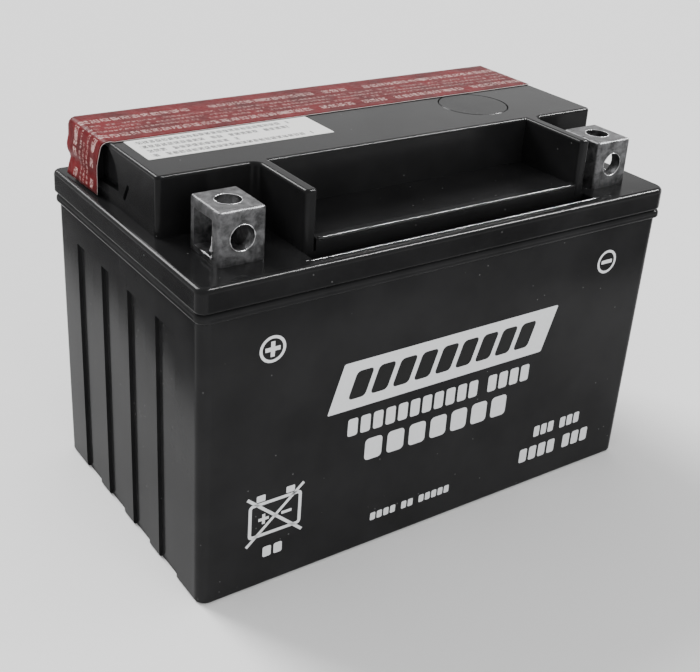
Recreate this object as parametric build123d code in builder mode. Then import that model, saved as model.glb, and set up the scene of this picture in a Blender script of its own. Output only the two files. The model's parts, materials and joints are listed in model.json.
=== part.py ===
from build123d import *
import os

# Sealed lead-acid motorcycle battery, dry charged, with its filler ports under a foil seal.
# Frame: millimetres, origin at the centre of the base, +X along the length towards the
# negative terminal, -Y towards the printed front, +Z up.

# Overall case size
LENGTH = 150.0
WIDTH = 87.0
HEIGHT = 105.0

# Container, the lower case: its walls lean out towards the top
BASE_X, BASE_Y = 73.3, 41.8
WALL_X, WALL_Y = 74.0, 42.5
WALL_TOP = 79.9
CASE_CORNER_R = 3.0
FLOOR_T = 2.6
BEAD_X, BEAD_Y = 74.8, 43.3
BEAD_TOP = 82.3
BEAD_TOP_R, BEAD_UNDER_R = 1.2, 0.7
BASE_EDGE_R = 0.8
NECK_X, NECK_Y, NECK_R = 73.2, 41.7, 2.0
SEAM_Z = 84.7

# Recessed panels on both end walls
PANELS = 4
PANEL_W = 10.2
PANEL_PITCH = 16.0
PANEL_DEPTH = 0.9
PANEL_TOP = 71.5
PANEL_RAMP = 0.9

# Six cells in a row along X, parted by thin walls
CELLS = 6
CELL_X, CELL_Y = 22.2, 78.4
PARTITION_T = 1.6
CAVITY_R = 1.0
CELL_PITCH = CELL_X + PARTITION_T
CELL_CENTRES = [CELL_PITCH * (k - (CELLS - 1) / 2) for k in range(CELLS)]
PARTITION_CENTRES = [CELL_PITCH * (k + 1 - CELLS / 2) for k in range(CELLS - 1)]
REST_H = 3.2
REST_W = 3.0
REST_Y = 22.0

# Plate pack of one cell
POSITIVE_PLATES = 4
POSITIVE_T, NEGATIVE_T, SEPARATOR_T = 1.9, 1.5, 0.85
PLATE_Y = 74.0
PLATE_BOTTOM, PLATE_TOP = 5.8, 68.0
SEPARATOR_Y = 76.0
SEPARATOR_TOP = 69.5
LUG_W = 9.0
LUG_Y = 27.7
STRAP_BOTTOM, STRAP_TOP = 73.0, 77.0
STRAP_X, STRAP_Y = 19.0, 12.0
TOMBSTONE_Y = 10.0
TOMBSTONE_TOP = 83.6
WELD_Z = 80.0
WELD_R = 2.5

# Cover: a flange with a raised block behind the terminals
FLANGE_BOTTOM, FLANGE_TOP = 82.6, 89.0
FLANGE_LEFT_R, FLANGE_RIGHT_R = 2.5, 4.0
FLANGE_TOP_R, FLANGE_BOTTOM_R = 1.3, 0.7
SKIRT_X, SKIRT_Y = 73.3, 41.8
BLOCK_X = 70.7
BLOCK_FRONT, BLOCK_BACK = -13.5, 38.0
BLOCK_TOP = 104.7
BLOCK_WALL = 2.3
BLOCK_CORNER_R = 1.3
BLOCK_EDGE_R = 0.9
CEILING = 100.0
POST_FRONT = -36.0
LEFT_DIVIDER = (-43.5, -40.1)
RIGHT_DIVIDER = (45.0, 48.4)
FLARE_R = 2.4
SHELF_TOP, LIP_TOP = 91.7, 92.2
LIP_W = 2.2
TROUGH_FRONT, TROUGH_FLOOR = -39.8, 86.3

# Arched recess in the block's left wall, as places along Y and Z, and the slit beside it
ARCH_FOOT = (8.4, 93.6)
ARCH_MIDDLE = (9.4, 99.0)
ARCH_HEAD = (14.0, 103.5)
ARCH_BACK, ARCH_BOTTOM = 21.0, 92.8
ARCH_DEPTH = 1.5
SLIT_Y, SLIT_Z, SLIT_TILT = 3.8, 94.8, -58
SLIT_L, SLIT_W, SLIT_DEPTH = 5.4, 1.3, 1.6

# Filler channel and its six ports, under the foil
CHANNEL_X = 66.0
CHANNEL_FRONT, CHANNEL_BACK = 15.4, 34.8
CHANNEL_FLOOR, CHANNEL_R = 102.5, 2.0
PORT_Y = 25.0
PORT_R = 5.5
NOZZLE_R = 6.8
NOZZLE_BOTTOM = 91.0

# Foil seal, stuck over the channel and folded down over the left end
FOIL_T = 0.2
FOIL_FRONT, FOIL_BACK = 13.2, 36.8
FOIL_RIGHT = 70.2
FLAP_BULGE_X, FLAP_BULGE_Z = -72.8, 97.0
FLAP_END_X, FLAP_END_Z = -72.0, 89.5
FOLD_X = -71.4
FOLD_R, BULGE_R = 1.3, 12.0
FLAP_FRONT_EDGE = [(16.2, 102.6), (18.5, 93.0), (19.3, 88.5)]

# Instruction label
LABEL_T = 0.1
LABEL_LEFT, LABEL_RIGHT = -67.2, -13.3
LABEL_FRONT, LABEL_BACK = -2.0, 12.8
LABEL_CORNER_R = 0.3

# Vent and relief valve, in a chamber that opens on top of the block
VENT_X, VENT_Y = 39.3, 3.5
VENT_R, VENT_T = 10.2, 1.7
VENT_GAP = 0.2
VENT_CHAMFER = 0.25
FILTER_R, FILTER_T = 8.0, 2.0
CHAMBER_R = 6.8
CHAMBER_WALL = 2.0
CHAMBER_FLOOR, CHAMBER_BOTTOM = 92.0, 90.0
SPIGOT_R, SPIGOT_BORE_R, SPIGOT_TOP = 3.0, 1.0, 98.0
CAP_R, CAP_BORE_R = 4.6, 3.1
CAP_BOTTOM, CAP_TOP, CAP_ROOF = 92.6, 99.5, 98.1
CAP_EDGE_R = 0.6

# Lead terminals, hollow for a square nut that goes in from the outer side
TERMINAL_X, TERMINAL_Y = 59.5, -27.7
TERMINAL_W, TERMINAL_D = 12.4, 14.2
TERMINAL_TOP = 102.5
TERMINAL_EDGE_R, TERMINAL_TOP_R = 0.8, 0.7
BOLT_R = 3.3
FRONT_HOLE_Z = 95.5
NUT_FRONT, NUT_BACK = -31.6, -22.8
NUT_FLOOR, NUT_ROOF = 90.4, 99.8
NUT_INNER_WALL = 2.8
NUT_CORNER_R = 0.4
SHANK_R, SHANK_HOLE_R = 3.7, 3.8
SHANK_BOTTOM = 85.0
POST_R, POST_BORE_R = 2.8, 2.9
SEAL_R, SEAL_BORE_R, SEAL_SEAT_R = 6.4, 3.8, 6.5
SEAL_BOTTOM, SEAL_TOP = 87.4, 88.9

# Depth that cutters go past a face, the distance at which two points count as one, and a
# reach that is past every face
PAST = 1.0
FIT = 0.01
ROOM = LENGTH

os.makedirs("parts", exist_ok=True)


# ---------------------------------------------------------------- container
with BuildPart() as container:
    with BuildSketch(Plane.XY):
        RectangleRounded(2 * BASE_X, 2 * BASE_Y, CASE_CORNER_R)
    with BuildSketch(Plane.XY.offset(WALL_TOP)):
        RectangleRounded(2 * WALL_X, 2 * WALL_Y, CASE_CORNER_R)
    loft()
    fillet(container.faces().sort_by(Axis.Z)[0].edges(), radius=BASE_EDGE_R)

    # rounded bead around the mouth, right under the cover
    with BuildSketch(Plane.XY.offset(WALL_TOP)):
        RectangleRounded(2 * BEAD_X, 2 * BEAD_Y, CASE_CORNER_R)
    extrude(amount=BEAD_TOP - WALL_TOP)
    fillet(container.faces().sort_by(Axis.Z)[-1].edges(), radius=BEAD_TOP_R)
    bead_underside = container.faces().filter_by(Plane.XY).sort_by(Axis.Z)[-2]
    fillet(bead_underside.outer_wire().edges(), radius=BEAD_UNDER_R)

    # tongue that the cover's skirt goes over
    with BuildSketch(Plane.XY.offset(BEAD_TOP)):
        RectangleRounded(2 * NECK_X, 2 * NECK_Y, NECK_R)
    extrude(amount=SEAM_Z - BEAD_TOP)

    # space for the six cells, then the rests that hold the plates off the floor
    with BuildSketch(Plane.XY.offset(FLOOR_T)):
        RectangleRounded(CELLS * CELL_PITCH - PARTITION_T, CELL_Y, CAVITY_R)
    extrude(amount=SEAM_Z - FLOOR_T, mode=Mode.SUBTRACT)
    with BuildSketch(Plane.XY.offset(FLOOR_T)):
        with GridLocations(CELL_PITCH, 2 * REST_Y, CELLS, 2):
            Rectangle(CELL_X, REST_W)
    extrude(amount=REST_H)

    # recessed panels on the end walls, parallel to the leaning wall
    lean = (WALL_X - BASE_X) / WALL_TOP * PANEL_TOP
    panel_rows = [PANEL_PITCH * (row - (PANELS - 1) / 2) for row in range(PANELS)]
    for side in (-1, 1):
        for row in panel_rows:
            with BuildSketch(Plane.XZ.offset(-row)):
                Polygon(
                    (side * (BASE_X - PANEL_DEPTH), -PAST),
                    (side * (BASE_X - PANEL_DEPTH), 0),
                    (side * (BASE_X - PANEL_DEPTH + lean), PANEL_TOP),
                    (side * (WALL_X + PAST), PANEL_TOP + PANEL_RAMP),
                    (side * (WALL_X + PAST), -PAST),
                    align=None,
                )
            extrude(amount=PANEL_W / 2, both=True, mode=Mode.SUBTRACT)
container.part.label = "container"
export_step(container.part, "parts/container.step")

# walls between the cells, with the holes that the intercell welds fill
with BuildPart() as cell_partitions:
    with BuildSketch(Plane.XY.offset(FLOOR_T)):
        with GridLocations(CELL_PITCH, 0, CELLS - 1, 1):
            Rectangle(PARTITION_T, CELL_Y)
    extrude(amount=SEAM_Z - FLOOR_T)
    for k, x in enumerate(PARTITION_CENTRES):
        weld_side = 1 if k % 2 == 0 else -1
        with BuildSketch(Plane.YZ.offset(x)):
            with Locations((weld_side * LUG_Y, WELD_Z)):
                Circle(WELD_R)
        extrude(amount=PARTITION_T, both=True, mode=Mode.SUBTRACT)
cell_partitions.part.label = "cell_partitions"
export_step(cell_partitions.part, "parts/cell_partitions.step")


# -------------------------------------------------------------------- cover
# The whole moulding is made first, then cut into five simple pieces that meet face to face.
left_out, left_in = LEFT_DIVIDER
right_in, right_out = RIGHT_DIVIDER
with BuildPart() as moulding:
    with BuildSketch(Plane.XY.offset(FLANGE_BOTTOM)) as flange:
        Rectangle(LENGTH, WIDTH)
        fillet(flange.vertices().group_by(Axis.X)[0], radius=FLANGE_LEFT_R)
        fillet(flange.vertices().group_by(Axis.X)[-1], radius=FLANGE_RIGHT_R)
    extrude(amount=FLANGE_TOP - FLANGE_BOTTOM)
    fillet(moulding.faces().sort_by(Axis.Z)[-1].edges(), radius=FLANGE_TOP_R)
    fillet(moulding.faces().sort_by(Axis.Z)[0].edges(), radius=FLANGE_BOTTOM_R)

    # raised block, with two dividers that reach forward beside the terminals
    with BuildSketch(Plane.XY.offset(FLANGE_TOP)) as outline:
        Polygon(
            (-BLOCK_X, BLOCK_BACK),
            (-BLOCK_X, BLOCK_FRONT),
            (left_out, BLOCK_FRONT),
            (left_out, POST_FRONT),
            (left_in, POST_FRONT),
            (left_in, BLOCK_FRONT),
            (right_in, BLOCK_FRONT),
            (right_in, POST_FRONT),
            (right_out, POST_FRONT),
            (right_out, BLOCK_FRONT),
            (BLOCK_X, BLOCK_FRONT),
            (BLOCK_X, BLOCK_BACK),
            align=None,
        )
        front_row = outline.vertices().filter_by_position(Axis.Y, BLOCK_FRONT, BLOCK_FRONT)
        block_corners = outline.vertices().filter_by_position(Axis.X, -BLOCK_X, -BLOCK_X)
        block_corners += outline.vertices().filter_by_position(Axis.X, BLOCK_X, BLOCK_X)
        post_corners = outline.vertices().filter_by_position(Axis.Y, POST_FRONT, POST_FRONT)
        outer_roots = front_row.filter_by_position(Axis.X, left_out, left_out)
        outer_roots += front_row.filter_by_position(Axis.X, right_out, right_out)
        fillet(block_corners + post_corners, radius=BLOCK_CORNER_R)
        roots = [
            corner
            for corner in outline.vertices()
            if any((corner.center() - root.center()).length < FIT for root in outer_roots)
        ]
        fillet(roots, radius=FLARE_R)
    extrude(amount=BLOCK_TOP - FLANGE_TOP)
    fillet(moulding.faces().sort_by(Axis.Z)[-1].edges(), radius=BLOCK_EDGE_R)

    # shelf between the dividers, with a lip along its front
    shelf_w = right_in - left_in
    shelf_x = (right_in + left_in) / 2
    with BuildSketch(Plane.XY.offset(FLANGE_TOP)):
        with Locations((shelf_x, (BLOCK_FRONT + POST_FRONT) / 2)):
            Rectangle(shelf_w, BLOCK_FRONT - POST_FRONT)
    extrude(amount=SHELF_TOP - FLANGE_TOP)
    with BuildSketch(Plane.XY.offset(SHELF_TOP)):
        with Locations((shelf_x, POST_FRONT + LIP_W / 2)):
            Rectangle(shelf_w, LIP_W)
    extrude(amount=LIP_TOP - SHELF_TOP)

    # trough in the flange, in front of the shelf
    trough_w = right_out - left_out
    with BuildSketch(Plane.XY.offset(FLANGE_TOP)):
        with Locations(((right_out + left_out) / 2, (POST_FRONT + TROUGH_FRONT) / 2)):
            Rectangle(trough_w, POST_FRONT - TROUGH_FRONT)
    extrude(amount=TROUGH_FLOOR - FLANGE_TOP, mode=Mode.SUBTRACT)

    # inside of the skirt, and the hollow of the block over each cell
    with BuildSketch(Plane.XY.offset(FLANGE_BOTTOM)):
        RectangleRounded(2 * SKIRT_X, 2 * SKIRT_Y, NECK_R)
    extrude(amount=SEAM_Z - FLANGE_BOTTOM, mode=Mode.SUBTRACT)
    hollow_end = BLOCK_X - BLOCK_WALL
    with BuildSketch(Plane.XY.offset(SEAM_Z)):
        for x in CELL_CENTRES:
            low = max(x - CELL_X / 2, -hollow_end)
            high = min(x + CELL_X / 2, hollow_end)
            with Locations(((low + high) / 2, (BLOCK_FRONT + BLOCK_BACK) / 2)):
                RectangleRounded(high - low, BLOCK_BACK - BLOCK_FRONT - 2 * BLOCK_WALL, CAVITY_R)
    extrude(amount=CEILING - SEAM_Z, mode=Mode.SUBTRACT)

    # filler channel, nozzles and ports
    with BuildSketch(Plane.XY.offset(CHANNEL_FLOOR)):
        with Locations((0, (CHANNEL_FRONT + CHANNEL_BACK) / 2)):
            RectangleRounded(2 * CHANNEL_X, CHANNEL_BACK - CHANNEL_FRONT, CHANNEL_R)
    extrude(amount=BLOCK_TOP - CHANNEL_FLOOR, mode=Mode.SUBTRACT)
    with BuildSketch(Plane.XY.offset(NOZZLE_BOTTOM)):
        with Locations((0, PORT_Y)):
            with GridLocations(CELL_PITCH, 0, CELLS, 1):
                Circle(NOZZLE_R)
    extrude(amount=CEILING - NOZZLE_BOTTOM)
    with BuildSketch(Plane.XY.offset(NOZZLE_BOTTOM)):
        with Locations((0, PORT_Y)):
            with GridLocations(CELL_PITCH, 0, CELLS, 1):
                Circle(PORT_R)
    extrude(amount=BLOCK_TOP - NOZZLE_BOTTOM, mode=Mode.SUBTRACT)

    # valve chamber: outer tube, seats for the vent cover and the filter, and the spigot
    with BuildSketch(Plane.XY.offset(CHAMBER_BOTTOM)):
        with Locations((VENT_X, VENT_Y)):
            Circle(CHAMBER_R + CHAMBER_WALL)
    extrude(amount=CEILING - CHAMBER_BOTTOM)
    disc_seat = BLOCK_TOP - VENT_T
    filter_seat = disc_seat - FILTER_T - VENT_GAP
    for radius, floor in (
        (VENT_R + VENT_GAP, disc_seat),
        (FILTER_R + VENT_GAP, filter_seat),
        (CHAMBER_R, CHAMBER_FLOOR),
    ):
        with BuildSketch(Plane.XY.offset(BLOCK_TOP)):
            with Locations((VENT_X, VENT_Y)):
                Circle(radius)
        extrude(amount=floor - BLOCK_TOP, mode=Mode.SUBTRACT)
    with BuildSketch(Plane.XY.offset(CHAMBER_FLOOR)):
        with Locations((VENT_X, VENT_Y)):
            Circle(SPIGOT_R)
    extrude(amount=SPIGOT_TOP - CHAMBER_FLOOR)
    with BuildSketch(Plane.XY.offset(SPIGOT_TOP)):
        with Locations((VENT_X, VENT_Y)):
            Circle(SPIGOT_BORE_R)
    extrude(amount=CHAMBER_BOTTOM - SPIGOT_TOP, mode=Mode.SUBTRACT)

    # holes for the terminal shanks, with a counterbore for each seal
    with BuildSketch(Plane.XY.offset(FLANGE_TOP)):
        with Locations((-TERMINAL_X, TERMINAL_Y), (TERMINAL_X, TERMINAL_Y)):
            Circle(SHANK_HOLE_R)
    extrude(amount=SEAM_Z - FLANGE_TOP, mode=Mode.SUBTRACT)
    with BuildSketch(Plane.XY.offset(FLANGE_TOP)):
        with Locations((-TERMINAL_X, TERMINAL_Y), (TERMINAL_X, TERMINAL_Y)):
            Circle(SEAL_SEAT_R)
    extrude(amount=SEAL_BOTTOM - FLANGE_TOP, mode=Mode.SUBTRACT)

    # arched recess in the left wall, partly behind the foil's flap, and the vent slit beside it
    with BuildSketch(Plane.YZ.offset(-BLOCK_X)):
        with BuildLine():
            Line((ARCH_BACK, ARCH_BOTTOM), ARCH_FOOT)
            ThreePointArc(ARCH_FOOT, ARCH_MIDDLE, ARCH_HEAD)
            Line(ARCH_HEAD, (ARCH_BACK, ARCH_HEAD[1]))
            Line((ARCH_BACK, ARCH_HEAD[1]), (ARCH_BACK, ARCH_BOTTOM))
        make_face()
    extrude(amount=ARCH_DEPTH, mode=Mode.SUBTRACT)
    with BuildSketch(Plane.YZ.offset(-BLOCK_X)):
        with Locations((SLIT_Y, SLIT_Z)):
            SlotOverall(SLIT_L, SLIT_W, rotation=SLIT_TILT)
    extrude(amount=SLIT_DEPTH, mode=Mode.SUBTRACT)


def export_pieces(whole, regions):
    """Cuts a solid by boxes, each given by two opposite corners, and exports each piece by its name."""
    for piece_name, low, high in regions:
        with BuildPart() as piece:
            add(whole)
            with Locations(tuple((a + b) / 2 for a, b in zip(low, high))):
                Box(*[b - a for a, b in zip(low, high)], mode=Mode.INTERSECT)
        piece.part.label = piece_name
        export_step(piece.part, f"parts/{piece_name}.step")


left_edge, right_edge = left_out - 2 * FLARE_R, right_out + 2 * FLARE_R
export_pieces(
    moulding.part,
    (
        ("cover_flange", (-ROOM, -ROOM, 0), (ROOM, ROOM, FLANGE_TOP)),
        ("cover_block", (-ROOM, BLOCK_FRONT, FLANGE_TOP), (ROOM, ROOM, HEIGHT)),
        ("left_divider", (left_edge, -ROOM, FLANGE_TOP), (left_in, BLOCK_FRONT, HEIGHT)),
        ("right_divider", (right_in, -ROOM, FLANGE_TOP), (right_edge, BLOCK_FRONT, HEIGHT)),
        ("cover_shelf", (left_in, -ROOM, FLANGE_TOP), (right_in, BLOCK_FRONT, HEIGHT)),
    ),
)


# ---------------------------------------------------------------- foil seal
foil_mid_z = HEIGHT - FOIL_T / 2
with BuildPart() as foil_seal:
    with BuildSketch(Plane.XZ.offset(-FOIL_FRONT)):
        with BuildLine() as run:
            FilletPolyline(
                (FOIL_RIGHT, foil_mid_z),
                (FOLD_X, foil_mid_z),
                (FLAP_BULGE_X, FLAP_BULGE_Z),
                (FLAP_END_X, FLAP_END_Z),
                radius=[FOLD_R, BULGE_R],
            )
        trace(run.edges(), line_width=FOIL_T)
    extrude(amount=FOIL_FRONT - FOIL_BACK)
    # the flap's front edge runs back as it goes down
    with BuildSketch(Plane.YZ.offset((FOLD_X - BLOCK_X) / 2 - BLOCK_X)):
        Polygon(
            (FOIL_FRONT - PAST, HEIGHT + PAST),
            (FOIL_FRONT, HEIGHT + PAST),
            *FLAP_FRONT_EDGE,
            (FOIL_FRONT - PAST, FLAP_FRONT_EDGE[-1][1]),
            align=None,
        )
    extrude(amount=FLAP_BULGE_X - PAST - FOLD_X, mode=Mode.SUBTRACT)
foil_seal.part.label = "foil_seal"
export_step(foil_seal.part, "parts/foil_seal.step")


# -------------------------------------------------------- instruction label
with BuildPart() as instruction_label:
    with BuildSketch(Plane.XY.offset(BLOCK_TOP)):
        with Locations(((LABEL_LEFT + LABEL_RIGHT) / 2, (LABEL_FRONT + LABEL_BACK) / 2)):
            RectangleRounded(LABEL_RIGHT - LABEL_LEFT, LABEL_BACK - LABEL_FRONT, LABEL_CORNER_R)
    extrude(amount=LABEL_T)
instruction_label.part.label = "instruction_label"
export_step(instruction_label.part, "parts/instruction_label.step")


# --------------------------------------------------- vent and relief valve
with BuildPart() as vent_cover:
    with BuildSketch(Plane.XY.offset(disc_seat)):
        with Locations((VENT_X, VENT_Y)):
            Circle(VENT_R)
    extrude(amount=VENT_T)
    chamfer(vent_cover.edges().group_by(Axis.Z)[-1], length=VENT_CHAMFER)
vent_cover.part.label = "vent_cover"
export_step(vent_cover.part, "parts/vent_cover.step")

with BuildPart() as vent_filter:
    with BuildSketch(Plane.XY.offset(filter_seat)):
        with Locations((VENT_X, VENT_Y)):
            Circle(FILTER_R)
    extrude(amount=FILTER_T)
vent_filter.part.label = "vent_filter"
export_step(vent_filter.part, "parts/vent_filter.step")

with BuildPart() as relief_valve_cap:
    with BuildSketch(Plane.XY.offset(CAP_BOTTOM)):
        with Locations((VENT_X, VENT_Y)):
            Circle(CAP_R)
    extrude(amount=CAP_TOP - CAP_BOTTOM)
    fillet(relief_valve_cap.edges().group_by(Axis.Z)[-1], radius=CAP_EDGE_R)
    with BuildSketch(Plane.XY.offset(CAP_BOTTOM)):
        with Locations((VENT_X, VENT_Y)):
            Circle(CAP_BORE_R)
    extrude(amount=CAP_ROOF - CAP_BOTTOM, mode=Mode.SUBTRACT)
relief_valve_cap.part.label = "relief_valve_cap"
export_step(relief_valve_cap.part, "parts/relief_valve_cap.step")


# ---------------------------------------------------------------- terminals
# Each casting is cut into three pieces, so that both bolt holes go through plain plates.
for pole, side in (("positive", -1), ("negative", 1)):
    x = side * TERMINAL_X
    nut_outer = x + side * (TERMINAL_W / 2 + PAST)
    nut_inner = x - side * (TERMINAL_W / 2 - NUT_INNER_WALL)
    with BuildPart() as terminal:
        with BuildSketch(Plane.XY.offset(FLANGE_TOP)):
            with Locations((x, TERMINAL_Y)):
                Rectangle(TERMINAL_W, TERMINAL_D)
        extrude(amount=TERMINAL_TOP - FLANGE_TOP)
        fillet(terminal.edges().filter_by(Axis.Z), radius=TERMINAL_EDGE_R)
        fillet(terminal.faces().sort_by(Axis.Z)[-1].edges(), radius=TERMINAL_TOP_R)
        # shank that goes through the cover
        with BuildSketch(Plane.XY.offset(SHANK_BOTTOM)):
            with Locations((x, TERMINAL_Y)):
                Circle(SHANK_R)
        extrude(amount=FLANGE_TOP - SHANK_BOTTOM)
        with BuildSketch(Plane.XY.offset(SHANK_BOTTOM)):
            with Locations((x, TERMINAL_Y)):
                Circle(POST_BORE_R)
        extrude(amount=NUT_FLOOR - SHANK_BOTTOM, mode=Mode.SUBTRACT)
        # space for the nut, open on the outer side
        with BuildSketch(Plane.XY.offset(NUT_FLOOR)):
            with Locations(((nut_inner + nut_outer) / 2, (NUT_FRONT + NUT_BACK) / 2)):
                RectangleRounded(abs(nut_outer - nut_inner), NUT_BACK - NUT_FRONT, NUT_CORNER_R)
        extrude(amount=NUT_ROOF - NUT_FLOOR, mode=Mode.SUBTRACT)
        # bolt holes in the top and the front
        with BuildSketch(Plane.XY.offset(TERMINAL_TOP)):
            with Locations((x, TERMINAL_Y)):
                Circle(BOLT_R)
        extrude(amount=NUT_ROOF - TERMINAL_TOP - PAST, mode=Mode.SUBTRACT)
        with BuildSketch(Plane.XZ.offset(-TERMINAL_Y + TERMINAL_D / 2)):
            with Locations((x, FRONT_HOLE_Z)):
                Circle(BOLT_R)
        extrude(amount=TERMINAL_Y - TERMINAL_D / 2 - NUT_FRONT - PAST, mode=Mode.SUBTRACT)
    export_pieces(
        terminal.part,
        (
            (f"{pole}_terminal_top", (-ROOM, -ROOM, NUT_ROOF), (ROOM, ROOM, HEIGHT)),
            (f"{pole}_terminal_front", (-ROOM, -ROOM, FLANGE_TOP), (ROOM, NUT_FRONT, NUT_ROOF)),
            (f"{pole}_terminal_post", (-ROOM, NUT_FRONT, 0), (ROOM, ROOM, NUT_ROOF)),
        ),
    )

with BuildPart() as terminal_seals:
    with BuildSketch(Plane.XY.offset(SEAL_BOTTOM)):
        with Locations((-TERMINAL_X, TERMINAL_Y), (TERMINAL_X, TERMINAL_Y)):
            Circle(SEAL_R)
            Circle(SEAL_BORE_R, mode=Mode.SUBTRACT)
    extrude(amount=SEAL_TOP - SEAL_BOTTOM)
terminal_seals.part.label = "terminal_seals"
export_step(terminal_seals.part, "parts/terminal_seals.step")


# -------------------------------------------------------------------- cells
def plate_positions(cell_x):
    """Low X of each sheet in a pack, as lists for negative, positive and separator."""
    positions = {"negative": [], "positive": [], "separator": []}
    thickness = {"negative": NEGATIVE_T, "positive": POSITIVE_T, "separator": SEPARATOR_T}
    order = ["negative"]
    for _ in range(POSITIVE_PLATES):
        order += ["separator", "positive", "separator", "negative"]
    x = cell_x - sum(thickness[kind] for kind in order) / 2
    for kind in order:
        positions[kind].append(x + thickness[kind] / 2)
        x += thickness[kind]
    return positions


for number, cell_x in enumerate(CELL_CENTRES, start=1):
    positions = plate_positions(cell_x)
    # the positive side is at the front in odd cells and at the back in even ones
    positive_y = -LUG_Y if number % 2 else LUG_Y

    for kind, sheet_t, lug_y in (("positive", POSITIVE_T, positive_y), ("negative", NEGATIVE_T, -positive_y)):
        with BuildPart() as plates:
            with BuildSketch(Plane.XY.offset(PLATE_BOTTOM)):
                with Locations(*[(x, 0) for x in positions[kind]]):
                    Rectangle(sheet_t, PLATE_Y)
            extrude(amount=PLATE_TOP - PLATE_BOTTOM)
            with BuildSketch(Plane.XY.offset(PLATE_TOP)):
                with Locations(*[(x, lug_y) for x in positions[kind]]):
                    Rectangle(sheet_t, LUG_W)
            extrude(amount=STRAP_BOTTOM - PLATE_TOP)
        plates.part.label = f"cell_{number}_{kind}_plates"
        export_step(plates.part, f"parts/cell_{number}_{kind}_plates.step")

        # which end of the strap is welded to the next cell, if any
        towards = -1 if kind == "positive" else 1
        at_terminal = (kind == "positive" and number == 1) or (kind == "negative" and number == CELLS)
        with BuildPart() as strap:
            with BuildSketch(Plane.XY.offset(STRAP_BOTTOM)):
                with Locations((cell_x, lug_y)):
                    Rectangle(STRAP_X, STRAP_Y)
            extrude(amount=STRAP_TOP - STRAP_BOTTOM)
            if at_terminal:
                with BuildSketch(Plane.XY.offset(STRAP_TOP)):
                    with Locations((cell_x, lug_y)):
                        Circle(POST_R)
                extrude(amount=NUT_FLOOR - STRAP_TOP)
            else:
                tombstone_t = (CELL_X - STRAP_X) / 2
                with BuildSketch(Plane.XY.offset(STRAP_BOTTOM)):
                    with Locations((cell_x + towards * (CELL_X - tombstone_t) / 2, lug_y)):
                        Rectangle(tombstone_t, TOMBSTONE_Y)
                extrude(amount=TOMBSTONE_TOP - STRAP_BOTTOM)
        strap.part.label = f"cell_{number}_{kind}_strap"
        export_step(strap.part, f"parts/cell_{number}_{kind}_strap.step")

    with BuildPart() as separators:
        with BuildSketch(Plane.XY.offset(PLATE_BOTTOM)):
            with Locations(*[(x, 0) for x in positions["separator"]]):
                Rectangle(SEPARATOR_T, SEPARATOR_Y)
        extrude(amount=SEPARATOR_TOP - PLATE_BOTTOM)
    separators.part.label = f"cell_{number}_separators"
    export_step(separators.part, f"parts/cell_{number}_separators.step")

with BuildPart() as intercell_welds:
    for k, x in enumerate(PARTITION_CENTRES):
        weld_side = 1 if k % 2 == 0 else -1
        with BuildSketch(Plane.YZ.offset(x)):
            with Locations((weld_side * LUG_Y, WELD_Z)):
                Circle(WELD_R)
        extrude(amount=PARTITION_T / 2, both=True)
intercell_welds.part.label = "intercell_welds"
export_step(intercell_welds.part, "parts/intercell_welds.step")
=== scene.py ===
import json
import math

import bmesh
import bpy
from mathutils import Matrix, Vector, noise


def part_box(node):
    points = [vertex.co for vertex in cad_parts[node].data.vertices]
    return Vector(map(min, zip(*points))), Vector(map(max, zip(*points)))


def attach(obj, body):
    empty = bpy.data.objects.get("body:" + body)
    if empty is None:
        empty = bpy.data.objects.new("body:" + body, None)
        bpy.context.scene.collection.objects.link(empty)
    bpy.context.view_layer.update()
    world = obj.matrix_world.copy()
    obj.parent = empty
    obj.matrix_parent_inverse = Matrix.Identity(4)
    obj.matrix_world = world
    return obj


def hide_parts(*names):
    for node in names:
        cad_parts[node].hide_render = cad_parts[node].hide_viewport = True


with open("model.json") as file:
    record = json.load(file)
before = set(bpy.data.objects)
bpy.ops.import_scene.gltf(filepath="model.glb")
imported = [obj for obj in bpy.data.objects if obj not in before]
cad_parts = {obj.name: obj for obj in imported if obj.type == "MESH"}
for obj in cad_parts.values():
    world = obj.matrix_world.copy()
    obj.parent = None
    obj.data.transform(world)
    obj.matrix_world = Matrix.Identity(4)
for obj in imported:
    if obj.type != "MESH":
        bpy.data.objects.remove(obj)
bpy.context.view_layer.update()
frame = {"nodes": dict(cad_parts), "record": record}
nodes = frame["nodes"]

MM = 0.001
BODY = "battery"

# ------------------------------------------------------- places on the part
foil_low, foil_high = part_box("foil_seal")
label_low, label_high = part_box("instruction_label")

# The front wall leans: its distance from the middle at the base, and how much it gains per height
FRONT_Y = -41.8 * MM
FRONT_LEAN = -0.7 / 79.9
BLOCK_LEFT = -70.7 * MM

# The nut space's floor over the flange, and how far below the top plate and behind the front plate burrs run
NUT_FLOOR_OVER_FLANGE = 1.4 * MM
NUT_EDGE_DROP = 4.0 * MM
NUT_EDGE_DEPTH = 5.5 * MM
TROUGH_DEPTH = 3.8 * MM

# ------------------------------------------------- sizes of the front print
# Heights over the wall: marks start just inside it, so no gap shows
PRINT_BASE = -0.02 * MM
INK = 0.03 * MM
OVERPRINT = 0.05 * MM

MARK_R, MARK_LINE, MARK_Z = 3.6 * MM, 0.76 * MM, 69.3 * MM
SIGN_REACH, SIGN_HALF = 2.05 * MM, 0.56 * MM
PLUS_X, MINUS_X = -55.0 * MM, 55.4 * MM

# Millimetres: from x, to x, from z, to z
BAND = (-36.0, 36.3, 45.6, 59.4)
BAND_ROUNDING = 0.5 * MM
PRINT_SLANT = 0.32

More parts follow.
